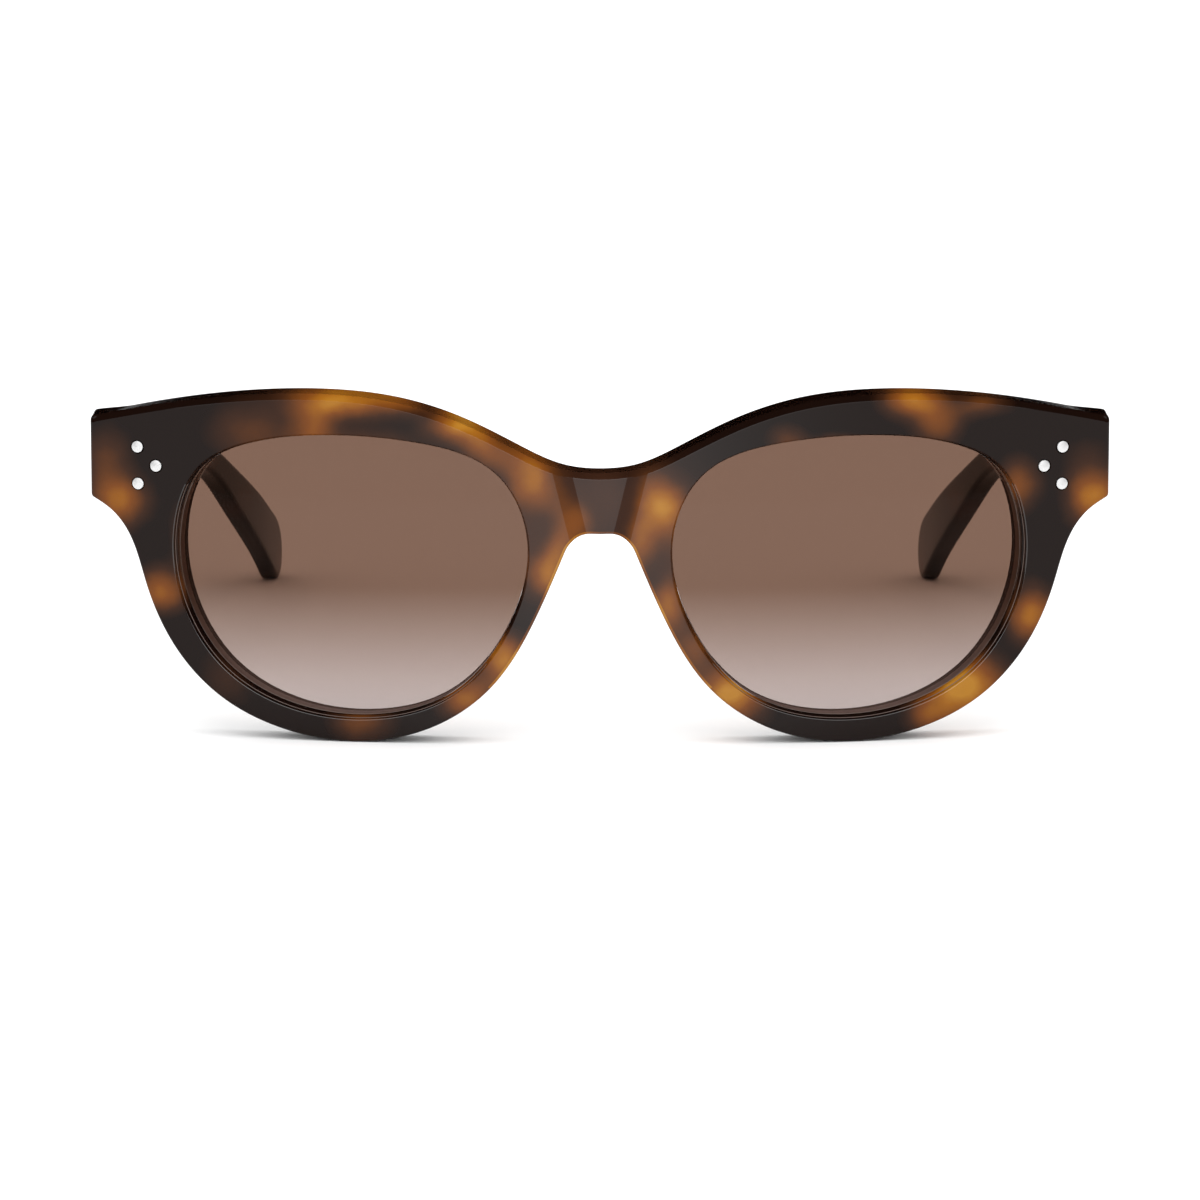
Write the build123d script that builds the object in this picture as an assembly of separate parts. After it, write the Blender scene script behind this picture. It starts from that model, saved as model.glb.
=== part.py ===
from build123d import *
import math
import os

# Cat eye sunglasses in their open, worn position, standing on their rims and temple tips.
# X runs across the face, +Y runs back along the temples, +Z is up. Left and right are the
# wearer's, so left is +X. The origin is the centre of the bounding box's floor side.
# Every piece is made for the left side, with the front's bridge at Y = 0, and is then
# mirrored and moved to the origin.

# Front, cut from one sheet of acetate and bent round a vertical cylinder
FACE_RADIUS = 260.0
RIM_THICKNESS = 6.5
HALF_WIDTH = 74.0
BRIDGE_TOP = 39.65
BRIDGE_UNDERSIDE = 30.8
BROW_CHAMFER = 0.85
END_PIECE_BOTTOM = 34.8
BROW_LINE = [(0, BRIDGE_TOP), (5.2, 40.2), (11.9, 43.0), (20.8, 47.2), (29.7, 49.8), (41.5, 50.85),
             (52.1, 50.35), (61.2, 49.15), (70.3, 47.35), (80.0, 45.1)]
RIM_LINE = [(71.5, 33.2), (69.0, 30.3), (66.2, 22.5), (61.9, 13.0), (55.3, 6.0), (46.5, 1.65),
            (35.6, 0.0), (24.65, 2.2), (15.9, 8.2), (9.4, 18.35), (5.05, 28.35)]
APERTURE = [(40.1, 45.05), (50.4, 43.75), (58.0, 39.95), (61.6, 31.85), (61.1, 21.5), (54.4, 10.0),
            (45.0, 4.75), (34.9, 3.35), (21.9, 6.75), (12.6, 18.1), (10.4, 30.8), (14.8, 39.6),
            (27.2, 44.3)]

# Recess on the front of the bridge, with a slanted facet on each side
RECESS_DEPTH = 0.9
RECESS_OUTER = (3.9, 7.9)
RECESS_INNER = (1.2, 5.1)
RECESS_SPAN = (28.0, 44.0)

# Lenses, base 4 curve
LENS_RADIUS = 131.0
LENS_THICKNESS = 2.0
LENS_SET_BACK = 1.2
LENS_CENTRE_X = 36.0
LENS_CENTRE_Z = 24.2
LENS_CLEARANCE = 0.05
TONGUE_THICKNESS = 0.8
TONGUE_HEIGHT = 0.7

# Nose pads, glued to the back of each rim
PAD_HALF_SIZES = (1.9, 4.6, 8.6)
PAD_CENTRE = (11.3, 6.6, 19.8)
PAD_FLANK_ANGLE = 26.0
PAD_SPLAY = 10.0

# Hinge: a five-knuckle hinge on a vertical screw
RIVET_GROUP_X = 66.2
RIVET_GROUP_Z = 39.65
RIVET_SPOTS = [(0.95, 2.7), (-1.85, 0.0), (0.9, -2.7)]
RIVET_RADIUS = 0.83
RIVET_DOME = 0.12
RIVET_RING_RADIUS = 0.98
RIVET_RING_DEPTH = 0.3
LEAF_PLATE_THICKNESS = 1.2
LEAF_SUNK = 0.8
FRONT_LEAF_REACH = (-3.6, 4.4)
FRONT_LEAF_HEIGHT = 8.8
AXIS_OFFSET = 4.4
AXIS_DEPTH = 8.5
KNUCKLE_RADIUS = 1.5
KNUCKLE_HEIGHT = 1.7
KNUCKLE_PITCH = 1.76
KNUCKLE_COUNT = 5
SCREW_RADIUS = 0.70
SCREW_RUNNING_GAP = 0.04
SCREW_HEAD_RADIUS = 1.2
SCREW_HEAD_HEIGHT = 0.7
SCREW_SLOT = (0.35, 0.3)

# Temples: outer face in plan as (Y, X), upper and lower edges in side view as (Y, Z)
TEMPLE_THICKNESS = 3.8
TEMPLE_TIP_THICKNESS = 2.9
TEMPLE_TAPER_SPAN = (60.0, 130.0)
TEMPLE_END_GAP = 0.15
TEMPLE_PLAN = [(14.0, 74.1), (40.0, 73.0), (70.0, 70.0), (90.0, 66.3), (100.0, 63.6), (110.0, 60.8),
               (120.0, 58.3), (130.0, 56.3), (142.0, 54.5)]
TEMPLE_TOP = [(12.0, 46.4), (40.0, 42.0), (70.0, 36.4), (90.0, 31.4), (100.0, 27.2), (110.0, 22.3),
              (120.0, 17.5), (130.0, 12.5)]
TEMPLE_TIP = [(136.3, 8.6), (138.2, 4.6), (137.4, 1.4), (135.3, 0.0)]
TEMPLE_BOTTOM = [(132.0, 1.3), (128.0, 4.0), (119.0, 9.7), (109.0, 16.4), (100.0, 22.4), (90.0, 26.4),
                 (70.0, 29.6), (40.0, 31.6), (12.0, 34.1)]
CORE_THICKNESS = 1.0
CORE_PATH = [(19.0, 39.4), (40.0, 36.8), (70.0, 33.0), (90.0, 28.9), (100.0, 24.9), (110.0, 19.5),
             (120.0, 13.8), (129.0, 8.5)]
CORE_HALF_HEIGHT = 1.1

# Temple side of the hinge
TEMPLE_LEAF_SPAN = (18.2, 29.6)
TEMPLE_LEAF_SUNK = 0.7
TEMPLE_LEAF_THICKNESS = 1.0
TEMPLE_LEAF_HALF_HEIGHT = 2.9
TEMPLE_LEAF_SLOPE = -0.13
TEMPLE_RIVET_SPOTS = (22.6, 27.2)
WEB_FRONT = 0.6

OVERALL_DEPTH = 138.25


def on_face(x, depth):
    """Plan position of the point at x on the front surface, moved back square to the surface."""
    angle = math.asin(x / FACE_RADIUS)
    reach = FACE_RADIUS - depth
    return reach * math.sin(angle), FACE_RADIUS - reach * math.cos(angle)


def bent_slab(outline, front_depth, back_depth):
    """Solid of an upright flat outline bent round the face cylinder, walls square to it."""
    barrel = Solid.make_cylinder(FACE_RADIUS, 160, Plane((0, FACE_RADIUS, -50)))
    wrapped = outline.project_to_shape(barrel, Vector(0, 1, 0))
    surface = min(wrapped, key=lambda face: face.center().Y)
    slab = Solid.thicken(surface, -back_depth)
    if front_depth < 0:
        slab = slab + Solid.thicken(surface, -front_depth)
    return slab


def half_outline():
    """Upright outline of the left half of the front, overshooting the end piece's wall."""
    with BuildSketch(Plane.XZ) as sketch:
        with BuildLine():
            brow = Spline(BROW_LINE, tangents=[(1, 0), (0.97, -0.23)])
            outside = Line(brow @ 1, (80.0, END_PIECE_BOTTOM + 4.0))
            ledge = Line(outside @ 1, (HALF_WIDTH, END_PIECE_BOTTOM))
            lower = Spline([ledge @ 1] + RIM_LINE)
            under = Spline([lower @ 1, (2.9, BRIDGE_UNDERSIDE - 0.2), (0, BRIDGE_UNDERSIDE)],
                           tangents=[lower % 1, (-1, 0)])
            Line(under @ 1, (0, BRIDGE_TOP))
        make_face()
    return sketch.sketch.faces()[0]


def aperture_outline(growth):
    """Upright outline of the lens opening, grown or shrunk by a distance."""
    with BuildSketch(Plane.XZ) as sketch:
        with BuildLine():
            Spline(APERTURE, periodic=True)
        make_face()
        if growth:
            offset(amount=growth)
    return sketch.sketch.faces()[0]


def aperture_plug(growth):
    """Solid that fills the lens opening and stands past both faces of the rim."""
    return bent_slab(aperture_outline(growth), -3.0, RIM_THICKNESS + 3.0)


def lens_shell(front_gap, thickness):
    """Spherical shell, its front surface set back from the face by front_gap."""
    x, y = on_face(LENS_CENTRE_X, LENS_SET_BACK + LENS_RADIUS)
    centre = Location((x, y, LENS_CENTRE_Z))
    outer = centre * Sphere(LENS_RADIUS - front_gap)
    return outer - centre * Sphere(LENS_RADIUS - front_gap - thickness)


def make_tongue():
    """Thin rim round the lens that sits in the groove of the front."""
    gap = (LENS_THICKNESS - TONGUE_THICKNESS) / 2
    return aperture_plug(TONGUE_HEIGHT) & lens_shell(gap, TONGUE_THICKNESS)


def make_lens(tongue):
    """Lens with its edge tongue."""
    body = aperture_plug(-LENS_CLEARANCE) & lens_shell(0.0, LENS_THICKNESS)
    return body + tongue


def bridge_recess():
    """Cutter for the left half of the recessed panel on the bridge."""
    sections = []
    for z, outer, inner in zip(RECESS_SPAN, RECESS_OUTER, RECESS_INNER):
        slope = (outer - inner) / RECESS_DEPTH
        corners = [(-1, -1, z), (outer + slope, -1, z), (inner, RECESS_DEPTH, z), (-1, RECESS_DEPTH, z)]
        sections.append(Face(Wire.make_polygon(corners)))
    return Solid.make_loft([face.outer_wire() for face in sections], ruled=True)


def hinge_plane():
    """Plane on the front surface at the rivets: x along the face, z outwards."""
    x, y = on_face(RIVET_GROUP_X, 0.0)
    lean = math.asin(RIVET_GROUP_X / FACE_RADIUS)
    along = (math.cos(lean), math.sin(lean), 0)
    outwards = (math.sin(lean), -math.cos(lean), 0)
    return Plane(origin=(x, y, RIVET_GROUP_Z), x_dir=along, z_dir=outwards)


def hinge_axis():
    """Plan position of the hinge screw."""
    spot = hinge_plane().from_local_coords(Vector(AXIS_OFFSET, 0, -AXIS_DEPTH))
    return spot.X, spot.Y


def rivet(length):
    """Rivet along -Z from its slightly domed head at Z = 0."""
    shank = Pos(0, 0, -length) * Cylinder(RIVET_RADIUS, length, align=(Align.CENTER, Align.CENTER, Align.MIN))
    dome_radius = (RIVET_RADIUS ** 2 + RIVET_DOME ** 2) / (2 * RIVET_DOME)
    cap = Pos(0, 0, RIVET_DOME - dome_radius) * Sphere(dome_radius)
    keep = Cylinder(RIVET_RADIUS, 1.0, align=(Align.CENTER, Align.CENTER, Align.MIN))
    return shank + (cap & keep)


def ring_recess():
    """Shallow cutter that leaves a dark ring round a rivet head at Z = 0."""
    return Cylinder(RIVET_RING_RADIUS, 2 * RIVET_RING_DEPTH)


def front_rivets():
    """The three rivets of the left end piece, with their ring cutters."""
    plane = hinge_plane()
    length = RIM_THICKNESS - LEAF_SUNK + LEAF_PLATE_THICKNESS
    places = [plane * Pos(x, z, 0) for x, z in RIVET_SPOTS]
    return [place * rivet(length) for place in places], [place * ring_recess() for place in places]


def knuckle_level(index):
    """Height of the lower side of a knuckle, counted from the bottom."""
    return RIVET_GROUP_Z + (index - KNUCKLE_COUNT / 2) * KNUCKLE_PITCH


def knuckles(indexes, web):
    """Hinge barrels at the given levels, each joined to its leaf by a web section."""
    x, y = hinge_axis()
    stack = None
    for index in indexes:
        level = knuckle_level(index)
        barrel = Pos(x, y, level) * Cylinder(KNUCKLE_RADIUS, KNUCKLE_HEIGHT,
                                             align=(Align.CENTER, Align.CENTER, Align.MIN))
        piece = barrel + extrude(Pos(0, 0, level) * web, KNUCKLE_HEIGHT)
        stack = piece if stack is None else stack + piece
    return stack


def screw_bore(radius, low, high):
    """Cutter for the screw's hole between two heights."""
    x, y = hinge_axis()
    return Pos(x, y, low) * Cylinder(radius, high - low, align=(Align.CENTER, Align.CENTER, Align.MIN))


def plan_polygon(points):
    """Flat face from plan points, at Z = 0."""
    return Face(Wire.make_polygon([(x, y, 0) for x, y in points]))


def front_leaf():
    """Hinge leaf riveted to the back of the end piece, with three knuckles."""
    plane = hinge_plane()
    low, high = FRONT_LEAF_REACH
    plate_front = RIM_THICKNESS - LEAF_SUNK
    plate = plane * Pos((low + high) / 2, 0, -plate_front - LEAF_PLATE_THICKNESS / 2) * Box(
        high - low, FRONT_LEAF_HEIGHT, LEAF_PLATE_THICKNESS)
    corners = [(AXIS_OFFSET - KNUCKLE_RADIUS, plate_front + 0.4), (AXIS_OFFSET, plate_front + 0.4),
               (AXIS_OFFSET + KNUCKLE_RADIUS, AXIS_DEPTH), (AXIS_OFFSET - KNUCKLE_RADIUS, AXIS_DEPTH)]
    spots = [plane.from_local_coords(Vector(x, 0, -depth)) for x, depth in corners]
    web = plan_polygon([(spot.X, spot.Y) for spot in spots])
    leaf = plate + knuckles((0, 2, 4), web)
    bottom, top = knuckle_level(0) - 1, knuckle_level(KNUCKLE_COUNT)
    leaf = leaf - screw_bore(SCREW_RADIUS, bottom, knuckle_level(1))
    return leaf - screw_bore(SCREW_RADIUS + SCREW_RUNNING_GAP, knuckle_level(1), top + 1)


def hinge_screw():
    """Slotted screw down through all five knuckles."""
    x, y = hinge_axis()
    bottom = knuckle_level(0)
    top = knuckle_level(KNUCKLE_COUNT) - (KNUCKLE_PITCH - KNUCKLE_HEIGHT)
    shank = screw_bore(SCREW_RADIUS, bottom, top)
    head = Pos(x, y, top) * Cylinder(SCREW_HEAD_RADIUS, SCREW_HEAD_HEIGHT,
                                     align=(Align.CENTER, Align.CENTER, Align.MIN))
    width, depth = SCREW_SLOT
    slot = Pos(x, y, top + SCREW_HEAD_HEIGHT - depth / 2) * Box(2 * SCREW_HEAD_RADIUS + 1, width, depth)
    return shank + head - slot


def temple_thickness(y):
    """Thickness of the temple, which thins evenly towards its tip."""
    start, end = TEMPLE_TAPER_SPAN
    share = min(1.0, max(0.0, (y - start) / (end - start)))
    return TEMPLE_THICKNESS + (TEMPLE_TIP_THICKNESS - TEMPLE_THICKNESS) * share


def temple_layer(outer_inset, inner_inset):
    """Upright layer of the temple between two insets from its outer face, each a function of Y."""
    with BuildSketch() as sketch:
        with BuildLine():
            outer = Spline([(x - outer_inset(y), y) for y, x in TEMPLE_PLAN])
            inner = Spline([(x - inner_inset(y), y) for y, x in TEMPLE_PLAN])
            Line(outer @ 0, inner @ 0)
            Line(outer @ 1, inner @ 1)
        make_face()
    return extrude(sketch.sketch, 60.0)


def side_prism(edges):
    """Solid across X from the closed side view made by a list of point runs."""
    with BuildSketch(Plane.YZ) as sketch:
        with BuildLine():
            curves = [Spline(points) if len(points) > 2 else Line(points) for points in edges]
            Line(curves[-1] @ 1, curves[0] @ 0)
        make_face()
    return extrude(sketch.sketch, 120.0)


def temple_body():
    """Whole temple before its pocket, holes and core channel are cut."""
    tip = [TEMPLE_TOP[-1]] + TEMPLE_TIP + [TEMPLE_BOTTOM[0]]
    body = temple_layer(lambda y: 0.0, temple_thickness) & side_prism([TEMPLE_TOP, tip, TEMPLE_BOTTOM])
    reach = FACE_RADIUS - RIM_THICKNESS - TEMPLE_END_GAP
    return body & (Pos(0, FACE_RADIUS, 25.0) * Cylinder(reach, 60.0))


def temple_core():
    """Flat metal core wire that runs inside the temple."""
    top = [(y, z + CORE_HALF_HEIGHT) for y, z in CORE_PATH]
    bottom = [(y, z - CORE_HALF_HEIGHT) for y, z in reversed(CORE_PATH)]
    ends = [[top[-1], bottom[0]]]
    layer = temple_layer(lambda y: (temple_thickness(y) - CORE_THICKNESS) / 2,
                         lambda y: (temple_thickness(y) + CORE_THICKNESS) / 2)
    return layer & side_prism([top] + ends + [bottom])


def temple_inner_x(y):
    """X of the temple's inner face near the hinge."""
    (y0, x0), (y1, x1) = TEMPLE_PLAN[:2]
    return x0 + (x1 - x0) * (y - y0) / (y1 - y0) - TEMPLE_THICKNESS


def leaf_height(y):
    """Height of the temple leaf's centre line."""
    return RIVET_GROUP_Z + TEMPLE_LEAF_SLOPE * (y - TEMPLE_LEAF_SPAN[0])


def temple_leaf():
    """Hinge leaf riveted to the inside of the temple, with two knuckles."""
    start, end = TEMPLE_LEAF_SPAN
    sunk = temple_inner_x(start) + TEMPLE_LEAF_SUNK
    with BuildSketch(Plane.YZ) as sketch:
        with BuildLine():
            corners = [(start, leaf_height(start) + TEMPLE_LEAF_HALF_HEIGHT),
                       (end, leaf_height(end) + TEMPLE_LEAF_HALF_HEIGHT),
                       (end, leaf_height(end) - TEMPLE_LEAF_HALF_HEIGHT),
                       (start, leaf_height(start) - TEMPLE_LEAF_HALF_HEIGHT)]
            Polyline(corners, close=True)
        make_face()
    plate = Pos(sunk - TEMPLE_LEAF_THICKNESS, 0, 0) * extrude(sketch.sketch, TEMPLE_LEAF_THICKNESS)
    x, y = hinge_axis()
    web = plan_polygon([(x, y - WEB_FRONT), (sunk - 0.3, y - WEB_FRONT + 0.6),
                        (sunk - 0.3, y + KNUCKLE_RADIUS), (x, y + KNUCKLE_RADIUS)])
    leaf = plate + knuckles((1, 3), web)
    low, high = knuckle_level(0), knuckle_level(KNUCKLE_COUNT)
    return leaf - screw_bore(SCREW_RADIUS + SCREW_RUNNING_GAP, low, high)


def temple_rivets():
    """The two rivets of the left temple, with their ring cutters."""
    rivets = []
    rings = []
    for y in TEMPLE_RIVET_SPOTS:
        outer = temple_inner_x(y) + TEMPLE_THICKNESS
        inner = temple_inner_x(TEMPLE_LEAF_SPAN[0]) + TEMPLE_LEAF_SUNK - TEMPLE_LEAF_THICKNESS
        place = Plane(origin=(outer, y, leaf_height(y)), x_dir=(0, 1, 0), z_dir=(1, 0, 0))
        rivets.append(place * rivet(outer - inner))
        rings.append(place * ring_recess())
    return rivets, rings


def nose_pad():
    """Rounded acetate pad behind the nasal flank of the left rim."""
    ball = Sphere(1.0)
    pad = scale(ball, PAD_HALF_SIZES)
    pad = Rot(0, 0, -PAD_SPLAY) * pad
    pad = Rot(0, -PAD_FLANK_ANGLE, 0) * pad
    pad = Pos(*PAD_CENTRE) * pad
    behind = Pos(0, FACE_RADIUS, 25.0) * Cylinder(FACE_RADIUS - RIM_THICKNESS, 80.0)
    return pad & behind


def brow_edge(slab):
    """Front edge of the slab's upper side."""
    upper = [edge for edge in slab.edges() if edge.length > 60 and edge.bounding_box().min.Z > 38]
    return min(upper, key=lambda edge: edge.center().Y)


def half_front(tongue, leaf, rivets, rings):
    """Left half of the front with its chamfer, opening, groove, recess, pocket and holes."""
    half = bent_slab(half_outline(), 0.0, RIM_THICKNESS)
    half = chamfer(brow_edge(half), BROW_CHAMFER)
    keep = Pos(HALF_WIDTH / 2, FACE_RADIUS / 4, 25.0) * Box(HALF_WIDTH, FACE_RADIUS, 80.0)
    half = half & keep
    half = half - aperture_plug(0.0) - tongue - bridge_recess() - leaf
    for cutter in rivets + rings:
        half = half - cutter
    return half


def place(shape):
    """Move a finished piece so that the origin is under the middle of the sunglasses."""
    return Pos(0, -OVERALL_DEPTH / 2, 0) * shape


def write(name, shape):
    """Write one node."""
    export_step(place(shape), f"parts/{name}.step")


def write_pair(name, shape):
    """Write the left piece and its mirror image."""
    write(f"{name}_left", shape)
    write(f"{name}_right", shape.mirror(Plane.YZ))


def main():
    os.makedirs("parts", exist_ok=True)
    tongue = make_tongue()
    rivets, rings = front_rivets()
    leaf = front_leaf()
    half = half_front(tongue, leaf, rivets, rings)
    write("front_frame", half + half.mirror(Plane.YZ))
    write_pair("lens", make_lens(tongue))
    write_pair("nose_pad", nose_pad())
    for cutter in rivets:
        leaf = leaf - cutter
    write_pair("front_hinge_leaf", leaf)
    for number, shape in enumerate(rivets, 1):
        write_pair(f"front_rivet_{number}", shape)
    write_pair("hinge_screw", hinge_screw())

    side_rivets, side_rings = temple_rivets()
    side_leaf = temple_leaf()
    core = temple_core()
    temple = temple_body() - side_leaf
    core = core - side_leaf
    for cutter in side_rivets:
        side_leaf = side_leaf - cutter
        core = core - cutter
        temple = temple - cutter
    for cutter in side_rings:
        temple = temple - cutter
    write_pair("temple", temple - core)
    write_pair("temple_core", core)
    write_pair("temple_hinge_leaf", side_leaf)
    for number, shape in enumerate(side_rivets, 1):
        write_pair(f"temple_rivet_{number}", shape)


main()
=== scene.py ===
"""Cat eye sunglasses: bent acetate front, lenses, temples and metalwork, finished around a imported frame."""

import math

import bmesh
import bpy
import numpy as np
from bpy.props import FloatProperty, FloatVectorProperty, PointerProperty
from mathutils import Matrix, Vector
from mathutils.geometry import delaunay_2d_cdt


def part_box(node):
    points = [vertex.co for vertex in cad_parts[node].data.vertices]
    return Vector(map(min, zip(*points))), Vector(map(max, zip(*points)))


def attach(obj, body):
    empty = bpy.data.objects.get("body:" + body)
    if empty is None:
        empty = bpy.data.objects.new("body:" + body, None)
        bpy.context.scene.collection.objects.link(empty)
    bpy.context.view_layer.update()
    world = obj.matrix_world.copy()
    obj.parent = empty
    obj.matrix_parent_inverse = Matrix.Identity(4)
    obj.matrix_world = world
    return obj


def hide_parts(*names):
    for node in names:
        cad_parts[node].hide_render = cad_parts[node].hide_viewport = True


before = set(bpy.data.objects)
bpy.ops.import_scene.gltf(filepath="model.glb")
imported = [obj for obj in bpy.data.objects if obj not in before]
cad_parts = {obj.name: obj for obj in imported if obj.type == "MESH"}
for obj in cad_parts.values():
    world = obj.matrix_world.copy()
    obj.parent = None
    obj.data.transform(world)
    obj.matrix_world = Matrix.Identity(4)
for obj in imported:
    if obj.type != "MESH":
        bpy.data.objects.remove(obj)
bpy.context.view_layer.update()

bl_info = {
    "name": "Cat Eye Sunglasses",
    "version": (1, 0, 0),
    "blender": (4, 5, 0),
    "location": "View3D > Sidebar > Eyewear",
    "description": "Builds acetate cat eye sunglasses piece by piece",
    "category": "Add Mesh",
}

# This list is in millimetres, except where it says otherwise, and the settings are in metres. The
# front's outlines are (x, z) on its bent face, with x from the middle of the bridge; the temples'
# are (y, z) from the bridge back.
MM = 0.001
SIDES = ("left", "right")
MIRROR = (-1, 1, 1)
PITCH, CURVE_STEPS = 0.5, 40  # spacing along an outline, and trial steps between two of its points
BRIDGE_TOP, BRIDGE_UNDERSIDE, END_PIECE_BOTTOM = 39.65, 30.8, 34.8
BROW_LINE = [(0, BRIDGE_TOP), (5.2, 40.2), (11.9, 43.0), (20.8, 47.2), (29.7, 49.8), (41.5, 50.85),
             (52.1, 50.35), (61.2, 49.15), (70.3, 47.35), (80.0, 45.1)]
BROW_HEADING = (0.97, -0.23)  # at the end piece
RIM_LINE = [(71.5, 33.2), (69.0, 30.3), (66.2, 22.5), (61.9, 13.0), (55.3, 6.0), (46.5, 1.65),
            (35.6, 0.0), (24.65, 2.2), (15.9, 8.2), (9.4, 18.35), (5.05, 28.35)]
BRIDGE_SPOT = (2.9, BRIDGE_UNDERSIDE - 0.2)  # on the underside
CORNER_ROUND, TEMPLE_CORNER_ROUND = 0.7, 1.0
STRAIGHT_FROM, STRAIGHT_OVER = 70.0, 3.5  # past here the end piece runs straight from front to back
SLANT_END, SLANT_FADE, SLANT_NEAR = 72.6, 0.8, 0.3  # the slanted edge's end, and its reach off the brow
SLANT_LINE = 0.03  # half the width of the soft line between the slant and the face
RECESS_SPAN, RECESS_OUTER, RECESS_INNER = (28.0, 44.0), (3.9, 7.9), (1.2, 5.1)
RECESS_LIMIT, FACET_POINTS = 12.0, 14  # the recess lies within this x, and its creases have these points
RIVET_GROUP = (66.2, 39.65)
RIVET_SPOTS = [(0.95, 2.7), (-1.85, 0.0), (0.9, -2.7)]
RING_ROUND = 0.06  # at the mouth of a rivet's recess
SEAM_PITCH = 0.6  # spacing along straight seams and ends
BORDER_INSET, LINE_CLEAR = 0.5, 0.8  # of the back face's border line, and the gap at lines' ends
ROW_HEIGHT, CLEARANCE = 0.866, 0.55  # of the points that fill a face, as shares of their spacing
TOUCHING, ON_MIDDLE, WELD = 1e-5, 1e-7, 2e-6  # the first in millimetres, the others in metres

# The front's material slots. A wall is (step out, share of the depth) pairs from the front, and its
# strips are counted from there too. The opening's strips are seen where its wall faces this way.
SHEET, POLISHED, SEAT_PAINTED_LIGHT, LIT = range(4)
APERTURE = [(40.1, 45.05), (50.4, 43.75), (58.0, 39.95), (61.6, 31.85), (61.1, 21.5), (54.4, 10.0),
            (45.0, 4.75), (34.9, 3.35), (21.9, 6.75), (12.6, 18.1), (10.4, 30.8), (14.8, 39.6),
            (27.2, 44.3)]
OPENING_ROUND = 0.22
OPENING_WALL = [(0.0, 0.11), (0.0, 0.12), (0.05, 0.15), (0.15, 0.18), (0.30, 0.20), (0.30, 0.22),
                (0.30, 0.34), (0.30, 0.8)]
# The seat strips get a paler matt colour: painted light on the ledge that sits in shade behind the lens.
OPENING_STRIPS = dict.fromkeys((1, 2, 3, 4), POLISHED) | dict.fromkeys((8, 13, 14), SEAT_PAINTED_LIGHT)
OPENING_SEEN, SEEN_LEAST = np.array([-0.55, 0.83]), 0.1
# The lit strips are made more amber: a painted glow standing in for light shining through the thin edge by
# the nose.
NOTCH_STRIPS = dict.fromkeys(range(7), LIT)
NOTCH_REACH, NOTCH_LOW, NOTCH_HIGH = 16, 6, 34  # the thin edge by the nose

LENS_CENTRE, LENS_RINGS = (36.0, 24.2), 24
PAD_FULLNESS, PAD_BLUNT, PAD_ARCH = 2.3, 0.01, 0.8
PAD_SINK = 0.0003  # metres that a pad goes into the front
TEMPLE_PLAN = [(14.0, 74.1), (40.0, 73.0), (70.0, 70.0), (90.0, 66.3), (100.0, 63.6), (110.0, 60.8),
               (120.0, 58.3), (130.0, 56.3), (142.0, 54.5)]
TEMPLE_TOP = [(12.0, 46.4), (40.0, 42.0), (70.0, 36.4), (90.0, 31.4), (100.0, 27.2), (110.0, 22.3),
              (120.0, 17.5), (130.0, 12.5)]
TEMPLE_TIP = [(136.3, 8.6), (138.2, 4.6), (137.4, 1.4), (135.3, 0.0)]
TEMPLE_BOTTOM = [(132.0, 1.3), (128.0, 4.0), (119.0, 9.7), (109.0, 16.4), (100.0, 22.4), (90.0, 26.4),
                 (70.0, 29.6), (40.0, 31.6), (12.0, 34.1)]
TEMPLE_FIRST, END_CLEAR = 24, 0.2  # the outline's first point, and the gap kept clear at the end's corners
THINS_FROM, THINS_OVER = 60, 70  # a temple thins towards its tip from here, over this
END_FADE = 8.0  # a temple's end follows the front's curve, less and less up to here

# Amber patches as (centre along, centre up, reach along, reach up, strength), in millimetres
FRONT_PATCHES_RIGHT = [
    (37.5, 50.2, 7.5, 2.4, 0.88), (28.5, 49.8, 5.0, 1.8, 0.50), (20.0, 46.8, 4.2, 2.2, 0.86),
    (17.0, 44.2, 3.2, 2.8, 0.50), (41.6, 46.4, 3.2, 3.4, 0.53), (34.0, 44.0, 9.0, 2.4, 0.26),
    (50.5, 45.2, 6.5, 4.4, 0.30), (10.2, 39.0, 3.0, 5.0, 0.74), (13.5, 42.4, 3.6, 2.4, 0.34),
    (6.4, 36.0, 3.2, 4.2, 0.30), (3.2, 32.2, 3.2, 3.6, 0.50), (6.0, 28.8, 2.4, 3.0, 0.45),
    (7.8, 25.2, 2.6, 3.6, 0.74), (11.5, 28.5, 2.6, 5.0, 0.18), (14.4, 12.2, 3.4, 3.6, 0.88),
    (19.4, 6.4, 4.2, 3.0, 0.72), (34.8, 2.8, 4.6, 2.9, 0.42), (54.0, 8.8, 4.4, 5.0, 0.15),
    (63.8, 21.4, 3.4, 3.0, 0.68), (60.2, 28.0, 2.0, 7.0, 0.16), (69.8, 34.4, 4.2, 3.8, 0.74),
    (71.4, 41.0, 3.6, 4.2, 0.28)]
FRONT_PATCHES_LEFT = [
    (44.8, 50.4, 4.2, 2.6, 0.78), (48.4, 46.8, 3.4, 3.6, 0.52), (55.0, 49.0, 4.0, 1.9, 0.36),
    (27.0, 44.6, 3.2, 2.4, 0.30), (34.8, 44.4, 4.0, 1.4, 0.24), (8.6, 35.2, 3.7, 5.2, 0.95),
    (5.8, 29.3, 2.3, 4.2, 0.52), (9.8, 20.8, 2.5, 3.8, 0.72),
    (13.2, 14.4, 3.0, 4.0, 0.46), (18.8, 7.3, 4.8, 4.2, 1.08), (60.6, 37.0, 3.0, 3.8, 0.52),
    (72.0, 34.8, 3.8, 4.0, 0.86), (63.2, 18.2, 3.1, 3.8, 0.84), (52.6, 7.2, 6.0, 4.8, 1.06),
    (47.6, 3.2, 3.0, 2.8, 0.50), (70.5, 41.0, 4.0, 3.6, 0.12), (11.5, 29.0, 2.8, 6.0, 0.22)]
SMOKY_PATCHES = [(0.0, 35.0, 7.5, 7.0, 0.9), (11.0, 31.0, 5.0, 9.0, 0.8)]
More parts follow.
